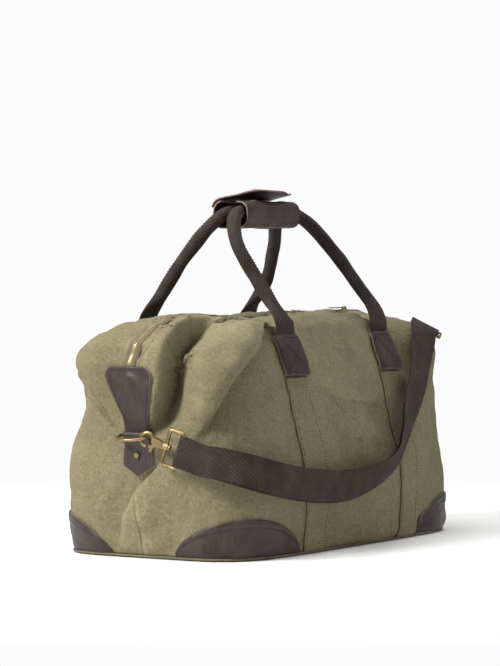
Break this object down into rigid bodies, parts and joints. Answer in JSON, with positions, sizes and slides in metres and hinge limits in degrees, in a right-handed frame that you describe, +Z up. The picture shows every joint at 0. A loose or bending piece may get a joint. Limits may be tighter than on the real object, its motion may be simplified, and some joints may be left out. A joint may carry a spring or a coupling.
{
  "type": "duffel bag",
  "caption": "Canvas weekend duffel bag with leather trim, zip top, two rope-core handles in a snap grip, and a shoulder strap on brass swivel hooks.",
  "frame": {"origin": "middle of the base, on the surface that the bag stands on", "axes": "+X along the bag to its right end, -Y to the front, +Z up"},
  "size_m": [0.6669, 0.3294, 0.4589],
  "materials": {
    "canvas": "washed olive-khaki cotton canvas",
    "leather": "smooth dark brown, soft sheen",
    "webbing": "dark brown cotton webbing",
    "brass": "antique brass, brushed",
    "zip_tape": "tan woven tape",
    "base_board": "stiff board",
    "handle_core": "cotton rope"
  },
  "bodies": {
    "root": {"front_panel": "canvas", "back_panel": "canvas", "base_panel": "canvas", "front_strip_left": "canvas", "front_strip_right": "canvas", "back_strip_left": "canvas", "back_strip_right": "canvas", "base_board": "base_board", "corner_patch_front_left": "leather", "corner_patch_front_right": "leather", "corner_patch_back_left": "leather", "corner_patch_back_right": "leather", "front_handle_patch_left": "leather", "front_handle_patch_right": "leather", "back_handle_patch_left": "leather", "back_handle_patch_right": "leather", "grip_wrap": "leather", "left_end_tab": "leather", "right_end_tab": "leather", "left_chape": "leather", "right_chape": "leather", "front_handle": "webbing", "rear_handle": "webbing", "shoulder_strap": "webbing", "front_handle_core": "handle_core", "rear_handle_core": "handle_core", "zip_tape_front": "zip_tape", "zip_tape_back": "zip_tape", "zip_teeth_front": "brass", "zip_teeth_back": "brass", "strap_adjuster": "brass", "snap_stud_left": "brass", "snap_stud_right": "brass", "left_chape_rivet": "brass", "left_swivel_eye": "brass", "right_chape_rivet": "brass", "right_swivel_eye": "brass"},
    "zip_slider": {"zip_slider": "brass"},
    "zip_pull": {"zip_pull": "brass"},
    "grip_flap": {"grip_flap": "leather", "snap_cap_left": "brass", "snap_cap_right": "brass"},
    "left_d_ring": {"left_d_ring": "brass"},
    "left_hook": {"left_hook": "brass", "left_lever_pin": "brass"},
    "left_hook_lever": {"left_hook_lever": "brass"},
    "right_d_ring": {"right_d_ring": "brass"},
    "right_hook": {"right_hook": "brass", "right_lever_pin": "brass"},
    "right_hook_lever": {"right_hook_lever": "brass"}
  },
  "joints": [
    {"name": "zip_slide", "type": "slide", "parent": "root", "child": "zip_slider", "axis": [-1, 0, 0], "range_m": [0, 0.415]},
    {"name": "zip_pull_hinge", "type": "hinge", "parent": "zip_slider", "child": "zip_pull", "pos_m": [0.206, 0, 0.3003], "axis": [0, 1, 0], "range_deg": [0, 165]},
    {"name": "grip_flap_hinge", "type": "hinge", "parent": "root", "child": "grip_flap", "pos_m": [-0.02, 0.02, 0.443], "axis": [-1, 0, 0], "range_deg": [-12, 110]},
    {"name": "left_ring_hinge", "type": "hinge", "parent": "root", "child": "left_d_ring", "pos_m": [-0.29931, 0, 0.152], "axis": [0, 1, 0], "range_deg": [-1.5, 1.5]},
    {"name": "left_hook_swivel", "type": "hinge", "parent": "root", "child": "left_hook", "pos_m": [-0.30812, -0.04868, 0.13992], "axis": [0.1302, -0.9416, -0.3105], "range_deg": [-1.5, 1.5]},
    {"name": "left_lever_press", "type": "hinge", "parent": "left_hook", "child": "left_hook_lever", "pos_m": [-0.30985, -0.03614, 0.143], "axis": [0.9906, 0.137, 0], "range_deg": [0, 20], "stiffness_Nm_per_rad": 0.02, "springref_deg": -11.46},
    {"name": "right_ring_hinge", "type": "hinge", "parent": "root", "child": "right_d_ring", "pos_m": [0.29958, 0, 0.205], "axis": [0, 1, 0], "range_deg": [-1.5, 1.5]},
    {"name": "right_hook_swivel", "type": "hinge", "parent": "root", "child": "right_hook", "pos_m": [0.3163, -0.03337, 0.24292], "axis": [0.1498, -0.7188, 0.6789], "range_deg": [-1.5, 1.5]},
    {"name": "right_lever_press", "type": "hinge", "parent": "right_hook", "child": "right_hook_lever", "pos_m": [0.31533, -0.02401, 0.23389], "axis": [0.141, 0.6951, 0.7049], "range_deg": [0, 20], "stiffness_Nm_per_rad": 0.02, "springref_deg": -11.46}
  ]
}
